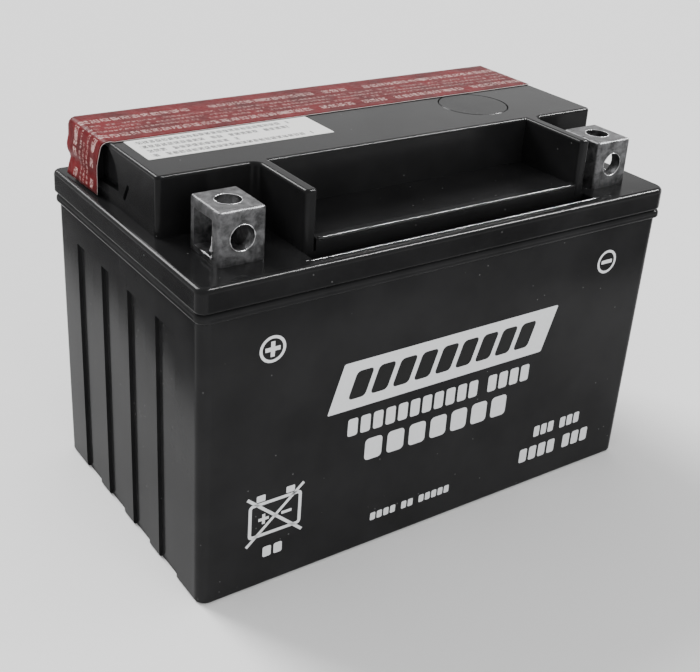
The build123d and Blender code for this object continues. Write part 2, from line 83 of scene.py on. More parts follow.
# Rows of blocks: the same four numbers, and how many blocks stand together in each group
BAND_ROW = (-31.0, 31.3, 48.6, 56.4, (9,))
WHITE_ROWS = (
    (-31.5, 31.5, 37.4, 42.6, (11, 4)),
    (-25.5, 25.0, 28.2, 34.8, (7,)),
    (36.5, 55.5, 16.0, 19.6, (3, 3)),
    (32.0, 60.5, 8.2, 12.8, (4, 3)),
    (-21.8, 6.0, 7.6, 10.0, (4, 2, 5)),
)
GROUP_GAP, BLOCK_SHARE, BLOCK_ROUNDING = 0.7, 0.76, 0.16

SYMBOL = (-60.0, -44.5, 15.5, 26.0)
SYMBOL_ROW = (-55.5, -49.0, 8.6, 11.8, (2,))
SYMBOL_LINE, SYMBOL_STROKE = 0.9 * MM, 0.42 * MM
SYMBOL_OUTER_R, SYMBOL_INNER_R = 1.2 * MM, 0.5 * MM
SYMBOL_SIGN_REACH, SYMBOL_SIGN_INSET = 1.5 * MM, 4.4 * MM
SYMBOL_CROSS_X, SYMBOL_CROSS_Z = 8.2 * MM, 7.3 * MM
POST_WIDTH, POST_LOW, POST_HIGH, POST_R = 2.5 * MM, 0.3 * MM, 2.2 * MM, 0.3 * MM
POST_INSET = 2.2 * MM

# ---------------------------------------------- print on the foil and label
# Styles of print: half the row's height, the length of a mark with its gap, the mark's share of it
LARGE_PRINT = (1.3 * MM, 2.9 * MM, 0.84)
FINE_PRINT = (0.62 * MM, 1.45 * MM, 0.8)
LABEL_PRINT = (1.0 * MM, 1.75 * MM, 0.8)
SKIPPED_MARKS = 0.12

# Rows on the foil: the middle's distance from its front edge, and the seed of its gaps
LARGE_ROWS = ((17.4 * MM, 3.0), (4.6 * MM, 5.0))
FINE_ROWS = ((13.4 * MM, 7.0), (10.9 * MM, 9.0), (8.4 * MM, 11.0))
FINE_STRENGTH = 0.6
DOT_R, DOT_SPACING = 1.15 * MM, 58.0 * MM

# Rows on the label, from the front: how much of the width each fills
LABEL_ROWS = (0.93, 0.52, 0.86, 0.90)
LABEL_FIRST_ROW, LABEL_ROW_STEP, LABEL_MARGIN = 2.3 * MM, 3.35 * MM, 2.0 * MM

# -------------------------------------------------------- sizes of the burrs
RING_STEPS, WIRE_SIDES = 44, 8
RIM_BURR, EDGE_BURR = 0.13 * MM, 0.28 * MM
BURR_GRAIN = 1100.0
BURR_SWELL, BURR_THINNING = 1.7, 0.45
EDGE_STEP, EDGE_UNEVENNESS = 0.35 * MM, 1.5
BEAD_R, BEAD_STEP, BEAD_UNEVENNESS = 0.5 * MM, 1.5 * MM, 0.1
BEAD_INSET = 0.7 * BEAD_R

# A direction that no burr or bead runs along, to turn the tubes' sections by
ASIDE = Vector((0.31, 0.42, 0.85))

# --------------------------------------------------------- sizes of the foil
FOIL_STEP = 0.9 * MM
FOIL_SHEET = 0.14 * MM
FOIL_CLEARANCE = 0.03 * MM
FOLD_R = 1.9 * MM
FLAP_GAP = 1.35 * MM
FLAP_NARROWING = 4.9 * MM
TOP_CRINKLE, FLAP_CRINKLE = 0.03 * MM, 0.16 * MM

# The flap's bulges, in shares of its height, and in millimetres at the front and further at the rear
HUMP_AT, HUMP_SPREAD, HUMP_FRONT, HUMP_REAR = 0.40, 0.18, 0.2, 0.5
DENT_AT, DENT_SPREAD, DENT_REAR = 0.64, 0.09, -0.4
FOOT_FROM, FOOT_FRONT, FOOT_REAR = 0.72, 0.2, 0.6

FOIL_TOP_Z = foil_high.z - FOIL_SHEET - FOIL_CLEARANCE
FLAP_TOP_LENGTH = foil_high.x - BLOCK_LEFT + FLAP_GAP
FLAP_FLAT = FLAP_TOP_LENGTH - FOLD_R
FLAP_DROP = FOIL_TOP_Z - FOLD_R - foil_low.z


# ----------------------------------------------------------- material helpers
NOISE_LOW, NOISE_HIGH = 0.3, 0.7


def grey(value, blue=None):
    """A grey, or a grey that leans to blue or yellow by its own blue value."""
    return (value, value, value if blue is None else blue)


def new_material(name):
    """A material with its Principled shader, ready for more nodes."""
    material = bpy.data.materials.new(name)
    material.use_nodes = True
    tree = material.node_tree
    return material, tree, tree.nodes["Principled BSDF"]


def add(tree, kind, **settings):
    """A node with plain properties, and with inputs given by name or number."""
    node = tree.nodes.new(kind)
    inputs = settings.pop("inputs", {})
    for key, value in settings.items():
        setattr(node, key, value)
    for key, value in inputs.items():
        node.inputs[key].default_value = value
    return node


def coordinates(tree, kind="Object"):
    """Texture coordinates of one kind."""
    return add(tree, "ShaderNodeTexCoord").outputs[kind]


def first_two(tree, where):
    """The X and the Y of coordinates."""
    parts = add(tree, "ShaderNodeSeparateXYZ")
    tree.links.new(where, parts.inputs["Vector"])
    return parts.outputs["X"], parts.outputs["Y"]


def stretched(tree, where, scale, rotation=(0.0, 0.0, 0.0)):
    """Coordinates turned and scaled, so that a noise on them runs in lines."""
    node = add(tree, "ShaderNodeMapping", inputs={"Rotation": rotation, "Scale": scale})
    tree.links.new(where, node.inputs["Vector"])
    return node.outputs["Vector"]


def noise_field(tree, where, scale, detail=3.0, roughness=0.55, distortion=0.0):
    """Smooth noise with values around a half."""
    inputs = {"Scale": scale, "Detail": detail, "Roughness": roughness, "Distortion": distortion}
    node = add(tree, "ShaderNodeTexNoise", inputs=inputs)
    tree.links.new(where, node.inputs["Vector"])
    return node.outputs["Fac"]


def remap(tree, value, low, high, to_low=0.0, to_high=1.0):
    """Maps one range of a value to another, and holds it there."""
    inputs = {"From Min": low, "From Max": high, "To Min": to_low, "To Max": to_high}
    node = add(tree, "ShaderNodeMapRange", inputs=inputs)
    tree.links.new(value, node.inputs["Value"])
    return node.outputs["Result"]


def spread(tree, field, to_low, to_high):
    """Maps the usual span of a noise field to a range."""
    return remap(tree, field, NOISE_LOW, NOISE_HIGH, to_low, to_high)


def mix_colours(tree, factor, first, second):
    """Mixes two colours, each a tuple or a socket, by a socket."""
    node = add(tree, "ShaderNodeMix", data_type="RGBA")
    tree.links.new(factor, node.inputs["Factor"])
    for socket, colour in ((node.inputs[6], first), (node.inputs[7], second)):
        if isinstance(colour, tuple):
            socket.default_value = (*colour, 1.0)
        else:
            tree.links.new(colour, socket)
    return node.outputs[2]


def maths(tree, operation, first, second=None):
    """One step of arithmetic on numbers or sockets."""
    node = add(tree, "ShaderNodeMath", operation=operation)
    for socket, value in zip(node.inputs, (first, second)):
        if value is None:
            continue
        if isinstance(value, (int, float)):
            socket.default_value = value
        else:
            tree.links.new(value, socket)
    return node.outputs[0]


def chained(tree, operation, values):
    """The same arithmetic over several values, such as their product or their largest."""
    result = values[0]
    for value in values[1:]:
        result = maths(tree, operation, result, value)
    return result


def bumps(tree, layers):
    """Stacks bump layers, each a height socket and its depth in metres."""
    normal = None
    for height, depth in layers:
        node = add(tree, "ShaderNodeBump", inputs={"Strength": 1.0, "Distance": depth})
        tree.links.new(height, node.inputs["Height"])
        if normal:
            tree.links.new(normal, node.inputs["Normal"])
        normal = node.outputs["Normal"]
    return normal


def dress(tree, shader, colour, rough, layers):
    """Links a shader's colour, its roughness and its stacked bumps."""
    tree.links.new(colour, shader.inputs["Base Color"])
    tree.links.new(rough, shader.inputs["Roughness"])
    tree.links.new(bumps(tree, layers), shader.inputs["Normal"])


# ----------------------------------------------------------------- materials
DUST_SCALE, DUST_SIZE, DUST_SKIPPED = 400.0, 0.075, 0.82
DUST_COLOUR = grey(0.11)
GLOSS_SPREAD = 0.09
GRAIN_DEPTH = 0.004 * MM
CASE_IOR, COVER_IOR, BEAD_IOR, FOIL_IOR, INK_IOR = 1.13, 1.17, 1.5, 1.16, 1.2
LEAD_METALLIC, LINING_METALLIC = 0.85, 0.8


def dust(tree, where):
    """Sparse small specks: 1 on a speck, 0 between."""
    cells = add(tree, "ShaderNodeTexVoronoi", inputs={"Scale": DUST_SCALE})
    tree.links.new(where, cells.inputs["Vector"])
    near = maths(tree, "LESS_THAN", cells.outputs["Distance"], DUST_SIZE)
    chance = add(tree, "ShaderNodeSeparateColor")
    tree.links.new(cells.outputs["Color"], chance.inputs["Color"])
    kept = maths(tree, "GREATER_THAN", chance.outputs["Red"], DUST_SKIPPED)
    return maths(tree, "MULTIPLY", near, kept)


def moulded_plastic(name, dark, light, gloss, waviness, ior=COVER_IOR):
    """Black moulded plastic: cloudy tone, dust, uneven gloss, fine grain and slightly wavy walls."""
    material, tree, shader = new_material(name)
    where = coordinates(tree)
    clouds = noise_field(tree, where, 55.0, detail=5.0)
    clean = mix_colours(tree, remap(tree, clouds, 0.35, 0.65), dark, light)
    colour = mix_colours(tree, dust(tree, where), clean, DUST_COLOUR)
    smears = noise_field(tree, where, 38.0, detail=6.0, roughness=0.7, distortion=0.6)
    rough = spread(tree, smears, gloss, gloss + GLOSS_SPREAD)
    grain = noise_field(tree, where, 2600.0, detail=2.0)
    waves = noise_field(tree, where, 24.0, detail=1.0)
    dress(tree, shader, colour, rough, [(waves, waviness), (grain, GRAIN_DEPTH)])
    shader.inputs["IOR"].default_value = ior
    return material


def cast_lead(name, dark, light):
    """Dull cast lead: mottled grey with file scratches and a slightly pitted skin."""
    material, tree, shader = new_material(name)
    where = coordinates(tree)
    mottle = noise_field(tree, where, 420.0, detail=6.0, roughness=0.65, distortion=0.4)
    colour = mix_colours(tree, remap(tree, mottle, 0.35, 0.68), dark, light)
    filed = stretched(tree, where, (1.0, 9.0, 1.0), rotation=(0.4, 0.9, 0.3))
    scratches = noise_field(tree, filed, 520.0, detail=3.0, roughness=0.7)
    pits = noise_field(tree, where, 1500.0, detail=3.0)
    layers = [(mottle, 0.10 * MM), (scratches, 0.06 * MM), (pits, 0.03 * MM)]
    dress(tree, shader, colour, spread(tree, mottle, 0.3, 0.5), layers)
    shader.inputs["Metallic"].default_value = LEAD_METALLIC
    return material


def print_row(tree, along, across, middle, style, chips, seed):
    """One row of print: chipped blocks of one length with plain gaps, some of them left out."""
    half, glyph, fill = style
    off = maths(tree, "ABSOLUTE", maths(tree, "SUBTRACT", across, middle))
    inside = maths(tree, "LESS_THAN", off, half)
    steps = maths(tree, "DIVIDE", along, glyph)
    block = maths(tree, "LESS_THAN", maths(tree, "FRACT", steps), fill)
    cell = add(tree, "ShaderNodeCombineXYZ", inputs={"Y": seed})
    tree.links.new(maths(tree, "FLOOR", steps), cell.inputs["X"])
    chance = add(tree, "ShaderNodeTexWhiteNoise", noise_dimensions="3D")
    tree.links.new(cell.outputs["Vector"], chance.inputs["Vector"])
    kept = maths(tree, "GREATER_THAN", chance.outputs["Value"], SKIPPED_MARKS)
    return chained(tree, "MULTIPLY", (inside, block, kept, chips))


def dot_row(tree, along, across, middle, radius, spacing):
    """Round dots along a row, one per spacing."""
    turn = maths(tree, "FRACT", maths(tree, "DIVIDE", along, spacing))
    x = maths(tree, "MULTIPLY", maths(tree, "SUBTRACT", turn, 0.5), spacing)
    y = maths(tree, "SUBTRACT", across, middle)
    square = maths(tree, "ADD", maths(tree, "MULTIPLY", x, x), maths(tree, "MULTIPLY", y, y))
    return maths(tree, "LESS_THAN", square, radius * radius)


def creased(tree, where):
    """The height of the foil's small creases."""
    return noise_field(tree, where, 260.0, detail=4.0, distortion=1.2)


def red_foil(name):
    """Red lacquered foil, with worn pale rows of marks in place of its print."""
    material, tree, shader = new_material(name)
    uv = coordinates(tree, "UV")
    where = coordinates(tree)
    along, across = first_two(tree, uv)
    strokes = noise_field(tree, uv, 1250.0, detail=2.0, roughness=0.6)
    chips = remap(tree, strokes, 0.45, 0.52)
    marks = []
    for middle, seed in LARGE_ROWS:
        marks.append(print_row(tree, along, across, middle, LARGE_PRINT, chips, seed))
        marks.append(dot_row(tree, along, across, middle, DOT_R, DOT_SPACING))
    for middle, seed in FINE_ROWS:
        fine = print_row(tree, along, across, middle, FINE_PRINT, chips, seed)
        marks.append(maths(tree, "MULTIPLY", fine, FINE_STRENGTH))
    worn = noise_field(tree, where, 700.0, detail=4.0, roughness=0.7)
    left_over = remap(tree, worn, 0.36, 0.56, 0.35, 0.95)
    ink = maths(tree, "MULTIPLY", chained(tree, "MAXIMUM", marks), left_over)
    shade = spread(tree, noise_field(tree, where, 130.0, detail=4.0), 0.0, 1.0)
    red = mix_colours(tree, shade, (0.058, 0.001, 0.002), (0.150, 0.003, 0.0065))
    colour = mix_colours(tree, ink, red, (0.50, 0.31, 0.29))
    layers = [(creased(tree, where), 0.16 * MM), (worn, 0.03 * MM)]
    dress(tree, shader, colour, spread(tree, worn, 0.30, 0.48), layers)
    shader.inputs["IOR"].default_value = FOIL_IOR
    return material


def foil_core(name):
    """The pale cut edge of the laminated foil."""
    material, tree, shader = new_material(name)
    fibres = noise_field(tree, coordinates(tree), 1800.0)
    colour = mix_colours(tree, fibres, (0.62, 0.50, 0.48), (0.80, 0.72, 0.70))
    tree.links.new(colour, shader.inputs["Base Color"])
    shader.inputs["Roughness"].default_value = 0.6
    return material


def foil_lining(name):
    """The bare aluminium side of the foil, with fine rolling lines and creases."""
    material, tree, shader = new_material(name)
    where = coordinates(tree)
    rolled = stretched(tree, where, (1.0, 22.0, 1.0))
    lines = noise_field(tree, rolled, 160.0, detail=4.0)
    colour = mix_colours(tree, lines, grey(0.42, 0.43), grey(0.66, 0.67))
    layers = [(creased(tree, where), 0.16 * MM), (lines, 0.02 * MM)]
    dress(tree, shader, colour, spread(tree, lines, 0.28, 0.45), layers)
    shader.inputs["Metallic"].default_value = LINING_METALLIC
    return material


def printed_label(name):
    """White coated paper with rows of dark marks, and a bare margin."""
    material, tree, shader = new_material(name)
    where = coordinates(tree)
    along, across = first_two(tree, where)
    strokes = noise_field(tree, where, 2300.0, detail=2.0, roughness=0.6)
    chips = remap(tree, strokes, 0.41, 0.48)
    start = label_low.x + LABEL_MARGIN
    width = label_high.x - label_low.x - 2 * LABEL_MARGIN
    rows = []
    for row, share in enumerate(LABEL_ROWS):
        middle = label_low.y + LABEL_FIRST_ROW + LABEL_ROW_STEP * row
        marks = print_row(tree, along, across, middle, LABEL_PRINT, chips, 2.0 * row)
        after = maths(tree, "GREATER_THAN", along, start)
        before = maths(tree, "LESS_THAN", along, start + share * width)
        rows.append(chained(tree, "MULTIPLY", (marks, after, before)))
    patchy = remap(tree, noise_field(tree, where, 1400.0), 0.35, 0.6, 0.75, 1.0)
    ink = maths(tree, "MULTIPLY", chained(tree, "MAXIMUM", rows), patchy)
    fibres = noise_field(tree, where, 700.0, detail=4.0)
    paper = mix_colours(tree, fibres, grey(0.80, 0.78), grey(0.86, 0.84))
    colour = mix_colours(tree, ink, paper, grey(0.03))
    dress(tree, shader, colour, spread(tree, fibres, 0.42, 0.55), [(fibres, 0.01 * MM)])
    return material


def screen_ink(name, dark, light):
    """Matt screen ink: patchy cover and soft grain."""
    material, tree, shader = new_material(name)
    patches = noise_field(tree, coordinates(tree), 900.0, detail=5.0, roughness=0.7)
    colour = mix_colours(tree, patches, dark, light)
    dress(tree, shader, colour, spread(tree, patches, 0.38, 0.52), [(patches, 0.01 * MM)])
    shader.inputs["IOR"].default_value = INK_IOR
    return material


def plain_grain(name, dark, light, scale, rough):
    """Grainy matt stuff: plate paste, glass mat, rubber, ceramic and the studio's cards."""
    material, tree, shader = new_material(name)
    grains = noise_field(tree, coordinates(tree), scale, detail=5.0, roughness=0.7)
    colour = mix_colours(tree, grains, dark, light)
    dress(tree, shader, colour, spread(tree, grains, rough - 0.05, rough + 0.1), [(grains, 0.03 * MM)])
    return material


def floor_surface(name):
    """Pale matt floor with a faint unevenness."""
    material, tree, shader = new_material(name)
    clouds = noise_field(tree, coordinates(tree), 3.0, detail=3.0)
    tree.links.new(mix_colours(tree, clouds, grey(0.88), grey(0.91)), shader.inputs["Base Color"])
    shader.inputs["Roughness"].default_value = 0.85
    shader.inputs["Specular IOR Level"].default_value = 0.2
    return material


CASE_TONES = (grey(0.0145, 0.0149), grey(0.0195, 0.0200))
COVER_TONES = (grey(0.0090, 0.0093), grey(0.0135, 0.0139))
VENT_TONES = (grey(0.0060, 0.0062), grey(0.0110, 0.0113))

case_plastic = moulded_plastic("case_plastic", *CASE_TONES, 0.11, 0.4 * MM, ior=CASE_IOR)
cover_plastic = moulded_plastic("cover_plastic", *COVER_TONES, 0.16, 0.1 * MM)
vent_plastic = moulded_plastic("vent_plastic", *VENT_TONES, 0.20, 0.05 * MM)
bead_plastic = moulded_plastic("bead_plastic", *COVER_TONES, 0.10, 0.05 * MM, ior=BEAD_IOR)
lead = cast_lead("terminal_lead", grey(0.04, 0.041), grey(0.16, 0.164))
# The burrs' lead is far lighter than the terminals' lead: partly bare cut lead, partly a painted highlight on
# the hole rims and the opening edges.
bare_lead_and_painted_highlight = cast_lead("bare_lead_and_painted_highlight", grey(0.30, 0.305), grey(0.62, 0.63))
inner_lead = cast_lead("strap_lead", grey(0.16, 0.17), grey(0.30, 0.31))
foil_red = red_foil("foil_red")
foil_edge = foil_core("foil_edge")
foil_back = foil_lining("foil_back")
label_paper = printed_label("label_paper")
white_ink = screen_ink("white_ink", (0.60, 0.61, 0.62), (0.72, 0.73, 0.74))
black_ink = screen_ink("black_ink", grey(0.010), grey(0.018))
positive_paste = plain_grain("positive_paste", (0.09, 0.04, 0.025), (0.17, 0.09, 0.06), 1200.0, 0.8)
negative_paste = plain_grain("negative_paste", grey(0.16, 0.17), grey(0.26, 0.27), 1200.0, 0.7)
glass_mat = plain_grain("glass_mat", grey(0.70, 0.68), grey(0.85, 0.83), 2500.0, 0.85)
filter_ceramic = plain_grain("filter_ceramic", (0.62, 0.61, 0.58), (0.78, 0.77, 0.74), 2000.0, 0.8)
card_cloth = plain_grain("card_cloth", grey(0.012), grey(0.02), 800.0, 0.9)
valve_rubber = plain_grain("valve_rubber", grey(0.012), grey(0.022), 1600.0, 0.6)

LOOKS_BY_ENDING = (
    ("positive_plates", positive_paste),
    ("negative_plates", negative_paste),
    ("separators", glass_mat),
    ("strap", inner_lead),
    ("terminal_top", lead),
    ("terminal_front", lead),
    ("terminal_post", lead),
)
LOOKS_BY_NAME = {
    "container": case_plastic,
    "cell_partitions": case_plastic,
    "cover_flange": cover_plastic,
    "cover_block": cover_plastic,
    "left_divider": cover_plastic,
    "right_divider": cover_plastic,
    "cover_shelf": cover_plastic,
    "vent_cover": vent_plastic,
    "foil_seal": foil_red,
    "instruction_label": label_paper,
    "vent_filter": filter_ceramic,
    "relief_valve_cap": valve_rubber,
    "terminal_seals": valve_rubber,
    "intercell_welds": inner_lead,
}


def look_of(name):
    """The look of a CAD node, by how its name ends or by the whole name."""
    for ending, look in LOOKS_BY_ENDING:
        if name.endswith(ending):
            return look
    return LOOKS_BY_NAME[name]


for name, node in nodes.items():
    for slot in node.material_slots:
        slot.material = look_of(name)


# -------------------------------------------------------------- mesh helpers
def new_piece(name, mesh_data, looks, body=BODY):
    """Makes an object of a filled bmesh, and lets it ride on a body."""
    mesh = bpy.data.meshes.new(name)
    bmesh.ops.recalc_face_normals(mesh_data, faces=mesh_data.faces)
    mesh_data.to_mesh(mesh)
    mesh_data.free()
    piece = bpy.data.objects.new(name, mesh)
    bpy.context.scene.collection.objects.link(piece)
    for look in looks:
        mesh.materials.append(look)
    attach(piece, body)
    return piece


def rounded_outline(x0, x1, z0, z1, radius, steps=5):
    """A rectangle with rounded corners as points, anticlockwise."""
    points = []
    for cx, cz, start in (
        (x1 - radius, z1 - radius, 0),
        (x0 + radius, z1 - radius, 90),
        (x0 + radius, z0 + radius, 180),
        (x1 - radius, z0 + radius, 270),
    ):
        for step in range(steps + 1):
            angle = math.radians(start + 90 * step / steps)
            points.append((cx + radius * math.cos(angle), cz + radius * math.sin(angle)))
    return points


def circle_outline(cx, cz, radius, steps=48):
    """A circle as points, anticlockwise."""
    angles = [2 * math.pi * k / steps for k in range(steps)]
    return [(cx + radius * math.cos(angle), cz + radius * math.sin(angle)) for angle in angles]


def cross_outline(cx, cz, reach, half):
    """A plus sign as twelve points, anticlockwise."""
    quarter = [(reach, half), (half, half), (half, reach)]
    points = []
    for _ in range(4):
        points.extend((cx + x, cz + z) for x, z in quarter)
        quarter = [(-z, x) for x, z in quarter]
    return points


def minus_outline(cx, cz, reach, half, rounding=0.1 * MM):
    """A minus sign with slightly rounded corners."""
    return rounded_outline(cx - reach, cx + reach, cz - half, cz + half, rounding)


def bar_outline(cx, cz, reach_x, reach_z, half):
    """A straight bar through a centre, from one corner of its reach to the other."""
    length = math.hypot(reach_x, reach_z)
    side_x, side_z = -reach_z / length * half, reach_x / length * half
    return [
        (cx + along * reach_x + side * side_x, cz + along * reach_z + side * side_z)
        for along, side in ((1, 1), (-1, 1), (-1, -1), (1, -1))
    ]


def slanted(outline, middle, slant):
    """Leans an outline to the right about a height."""
    return [(x + slant * (z - middle), z) for x, z in outline]


def on_front(x, z, lift):
    """A point of the container's leaning front wall, raised by lift."""
    return Vector((x, FRONT_Y + FRONT_LEAN * z - lift, z))


def raised_mark(bm, outline, top=INK):
    """Adds a closed slab over an outline, from the print's base to a height over the wall."""
    lower = [bm.verts.new(on_front(x, z, PRINT_BASE)) for x, z in outline]
    upper = [bm.verts.new(on_front(x, z, top)) for x, z in outline]
    bm.faces.new(lower)
    bm.faces.new(upper)
    count = len(outline)
    for k in range(count):
        j = (k + 1) % count
        bm.faces.new((lower[k], lower[j], upper[j], upper[k]))


def raised_ring(bm, outer, inner, top=INK):
    """Adds a closed band between two outlines with as many points."""
    loops = [
        [bm.verts.new(on_front(x, z, height)) for x, z in outline]
        for outline in (outer, inner)
        for height in (PRINT_BASE, top)
    ]
    outer_low, outer_top, inner_low, inner_top = loops
    count = len(outer)
    for first, second in (
        (outer_low, outer_top),
        (inner_low, inner_top),
        (outer_top, inner_top),
        (outer_low, inner_low),
    ):
        for k in range(count):
            j = (k + 1) % count
            bm.faces.new((first[k], first[j], second[j], second[k]))


# ------------------------------------------------------- print on the front
def block_row(bm, row, top=INK, slant=0.0):
    """Adds a row of plain blocks, in groups with wider gaps between them."""
    x0, x1, z0, z1 = (value * MM for value in row[:4])
    groups = row[4]
    unit = (x1 - x0) / (sum(groups) + GROUP_GAP * (len(groups) - 1))
    x = x0
    for count in groups:
        for _ in range(count):
            outline = rounded_outline(x, x + unit * BLOCK_SHARE, z0, z1, unit * BLOCK_ROUNDING, steps=3)
            raised_mark(bm, slanted(outline, (z0 + z1) / 2, slant), top)
            x += unit
        x += unit * GROUP_GAP


def polarity_marks():
    """A plus and a minus, each in a ring, near their terminals."""
    bm = bmesh.new()
    for x in (PLUS_X, MINUS_X):
        raised_ring(bm, circle_outline(x, MARK_Z, MARK_R), circle_outline(x, MARK_Z, MARK_R - MARK_LINE))
    raised_mark(bm, cross_outline(PLUS_X, MARK_Z, SIGN_REACH, SIGN_HALF))
    raised_mark(bm, minus_outline(MINUS_X, MARK_Z, SIGN_REACH, SIGN_HALF))
    new_piece("polarity_marks", bm, [white_ink])


def front_print():
    """A plain slanted white band with dark blocks on it, and white blocks under it, in place of lettering."""
    x0, x1, z0, z1 = (value * MM for value in BAND)
    band = rounded_outline(x0, x1, z0, z1, BAND_ROUNDING)
    bm = bmesh.new()
    raised_mark(bm, slanted(band, (z0 + z1) / 2, PRINT_SLANT))
    for row in WHITE_ROWS:
        block_row(bm, row)
    new_piece("front_print", bm, [white_ink])
    bm = bmesh.new()
    block_row(bm, BAND_ROW, top=OVERPRINT, slant=PRINT_SLANT)
    new_piece("front_print_dark", bm, [black_ink])


def cell_symbol():
    """A plain crossed-out outline of a battery, in place of the waste symbol."""
    x0, x1, z0, z1 = (value * MM for value in SYMBOL)
    cx, cz, line = (x0 + x1) / 2, (z0 + z1) / 2, SYMBOL_LINE
    bm = bmesh.new()
    outer = rounded_outline(x0, x1, z0, z1, SYMBOL_OUTER_R)
    inner = rounded_outline(x0 + line, x1 - line, z0 + line, z1 - line, SYMBOL_INNER_R)
    raised_ring(bm, outer, inner)
    for x in (x0 + POST_INSET, x1 - POST_INSET - POST_WIDTH):
        raised_mark(bm, rounded_outline(x, x + POST_WIDTH, z1 + POST_LOW, z1 + POST_HIGH, POST_R))
    raised_mark(bm, cross_outline(x0 + SYMBOL_SIGN_INSET, cz, SYMBOL_SIGN_REACH, SYMBOL_STROKE))
    raised_mark(bm, minus_outline(x1 - SYMBOL_SIGN_INSET, cz, SYMBOL_SIGN_REACH, SYMBOL_STROKE))
    block_row(bm, SYMBOL_ROW)
    for rise in (-SYMBOL_CROSS_Z, SYMBOL_CROSS_Z):
        raised_mark(bm, bar_outline(cx, cz, SYMBOL_CROSS_X, rise, SYMBOL_STROKE))
    new_piece("cell_symbol", bm, [white_ink])


polarity_marks()
front_print()
cell_symbol()


# ----------------------------------------------------------- burrs and beads
def ragged_wire(bm, path, thickness, closed, unevenness=1.0):
    """Adds a tube of uneven thickness along a path: the burr that a tool leaves on soft lead."""
    count = len(path)
    rings = []
    for k, point in enumerate(path):
        before = path[k - 1] if closed or k > 0 else point
        after = path[(k + 1) % count] if closed or k < count - 1 else point
        along = (after - before).normalized()
        side = along.cross(ASIDE).normalized()
        over = along.cross(side)
        grain = max(0.0, noise.noise(point * BURR_GRAIN))
        radius = thickness * (1.0 + unevenness * (BURR_SWELL * grain - BURR_THINNING))
        ring = []
        for j in range(WIRE_SIDES):
            angle = 2 * math.pi * j / WIRE_SIDES
            ring.append(bm.verts.new(point + (side * math.cos(angle) + over * math.sin(angle)) * radius))
        rings.append(ring)
    for k in range(count if closed else count - 1):
        first, second = rings[k], rings[(k + 1) % count]
        for j in range(WIRE_SIDES):
            i = (j + 1) % WIRE_SIDES
            bm.faces.new((first[j], first[i], second[i], second[j])).smooth = True
    if not closed:
        bm.faces.new(rings[0])
        bm.faces.new(rings[-1])


def stepped(points, step):
    """Points along straight runs, about one step apart."""
    path = []
    for start, end in zip(points, points[1:]):
        count = max(1, round((end - start).length / step))
        path.extend(start.lerp(end, k / count) for k in range(count))
    return path + [points[-1]]


def bolt_rim(mount):
    """Points round the outer rim of a terminal's bolt hole."""
    axis = Vector(mount["axis"])
    rim = Vector(mount["pos_m"]) + axis * mount["dims"]["length_mm"] * MM / 2
    radius = mount["dims"]["r_mm"] * MM
    across = Vector((1.0, 0.0, 0.0))
    over = axis.cross(across)
    angles = [2 * math.pi * k / RING_STEPS for k in range(RING_STEPS)]
    return [rim + (across * math.cos(angle) + over * math.sin(angle)) * radius for angle in angles]


def nut_opening_edge(pole, outward):
    """Points down the front edge and along the floor of a terminal's nut opening, on its outer side."""
    post_low, post_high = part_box(pole + "_terminal_post")
    front_low, front_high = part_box(pole + "_terminal_front")
    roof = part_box(pole + "_terminal_top")[0].z
    floor = front_low.z + NUT_FLOOR_OVER_FLANGE
    y = front_high.y
    x = post_high.x if outward > 0 else post_low.x
    corners = ((y, roof - NUT_EDGE_DROP), (y, floor), (y + NUT_EDGE_DEPTH, floor))
    return stepped([Vector((x, side, height)) for side, height in corners], EDGE_STEP)


def terminal_burrs():
    """Burrs at the rims of the bolt holes and along the edges of the nut openings, in light lead: partly bare
    cut lead, partly a painted highlight.
    """
    bm = bmesh.new()
    for mount in frame["record"]["mounts"]:
        if mount["name"].endswith("bolt"):
            ragged_wire(bm, bolt_rim(mount), RIM_BURR, closed=True)
    for pole, outward in (("positive", -1), ("negative", 1)):
        edge = nut_opening_edge(pole, outward)
        ragged_wire(bm, edge, EDGE_BURR, closed=False, unevenness=EDGE_UNEVENNESS)
    new_piece("terminal_burrs", bm, [bare_lead_and_painted_highlight])


def cover_beads():
    """Rounded beads that the mould leaves along the shelf's lip and the trough's front rim."""
    shelf_low, shelf_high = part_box("cover_shelf")
    left_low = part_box("left_divider")[0]
    right_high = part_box("right_divider")[1]
    bm = bmesh.new()
    for x0, x1, y, z in (
        (shelf_low.x, shelf_high.x, shelf_low.y + BEAD_INSET, shelf_high.z - BEAD_INSET),
        (left_low.x, right_high.x, shelf_low.y - TROUGH_DEPTH - BEAD_INSET, left_low.z - BEAD_INSET),
    ):
        ends = [Vector((x0 + BEAD_R, y, z)), Vector((x1 - BEAD_R, y, z))]
        ragged_wire(bm, stepped(ends, BEAD_STEP), BEAD_R, closed=False, unevenness=BEAD_UNEVENNESS)
    new_piece("cover_beads", bm, [bead_plastic])


terminal_burrs()
cover_beads()


# ---------------------------------------------------------------------- foil
def ripple(a, b, layer):
    """Noise from -1 to 1 over two scaled distances; the layer picks its pattern."""
    return noise.noise(Vector((a, b, layer)))


def flap_front(z):
    """How far back the flap's front edge is at a height."""
    drop = (foil_high.z - z) / (foil_high.z - foil_low.z)
    return foil_low.y + FLAP_NARROWING * min(1.0, max(0.0, drop * 1.6) ** 0.45)


def swelling(drop, middle, width):
    """A smooth hump over the flap's height: 1 in its middle, 0 far from it."""
    return math.exp(-(((drop - middle) / width) ** 2))


def flap_bulge(back, drop):
    """How far the flap stands off the wall: back runs 0 to 1 to the rear, drop 0 to 1 downwards."""
    hump = swelling(drop, HUMP_AT, HUMP_SPREAD) * (HUMP_FRONT + HUMP_REAR * back**1.5)
    dent = swelling(drop, DENT_AT, DENT_SPREAD) * DENT_REAR * back
    foot = (FOOT_FRONT + FOOT_REAR * back) * max(0.0, drop - FOOT_FROM) / (1.0 - FOOT_FROM)
    return (hump + foot + dent) * MM


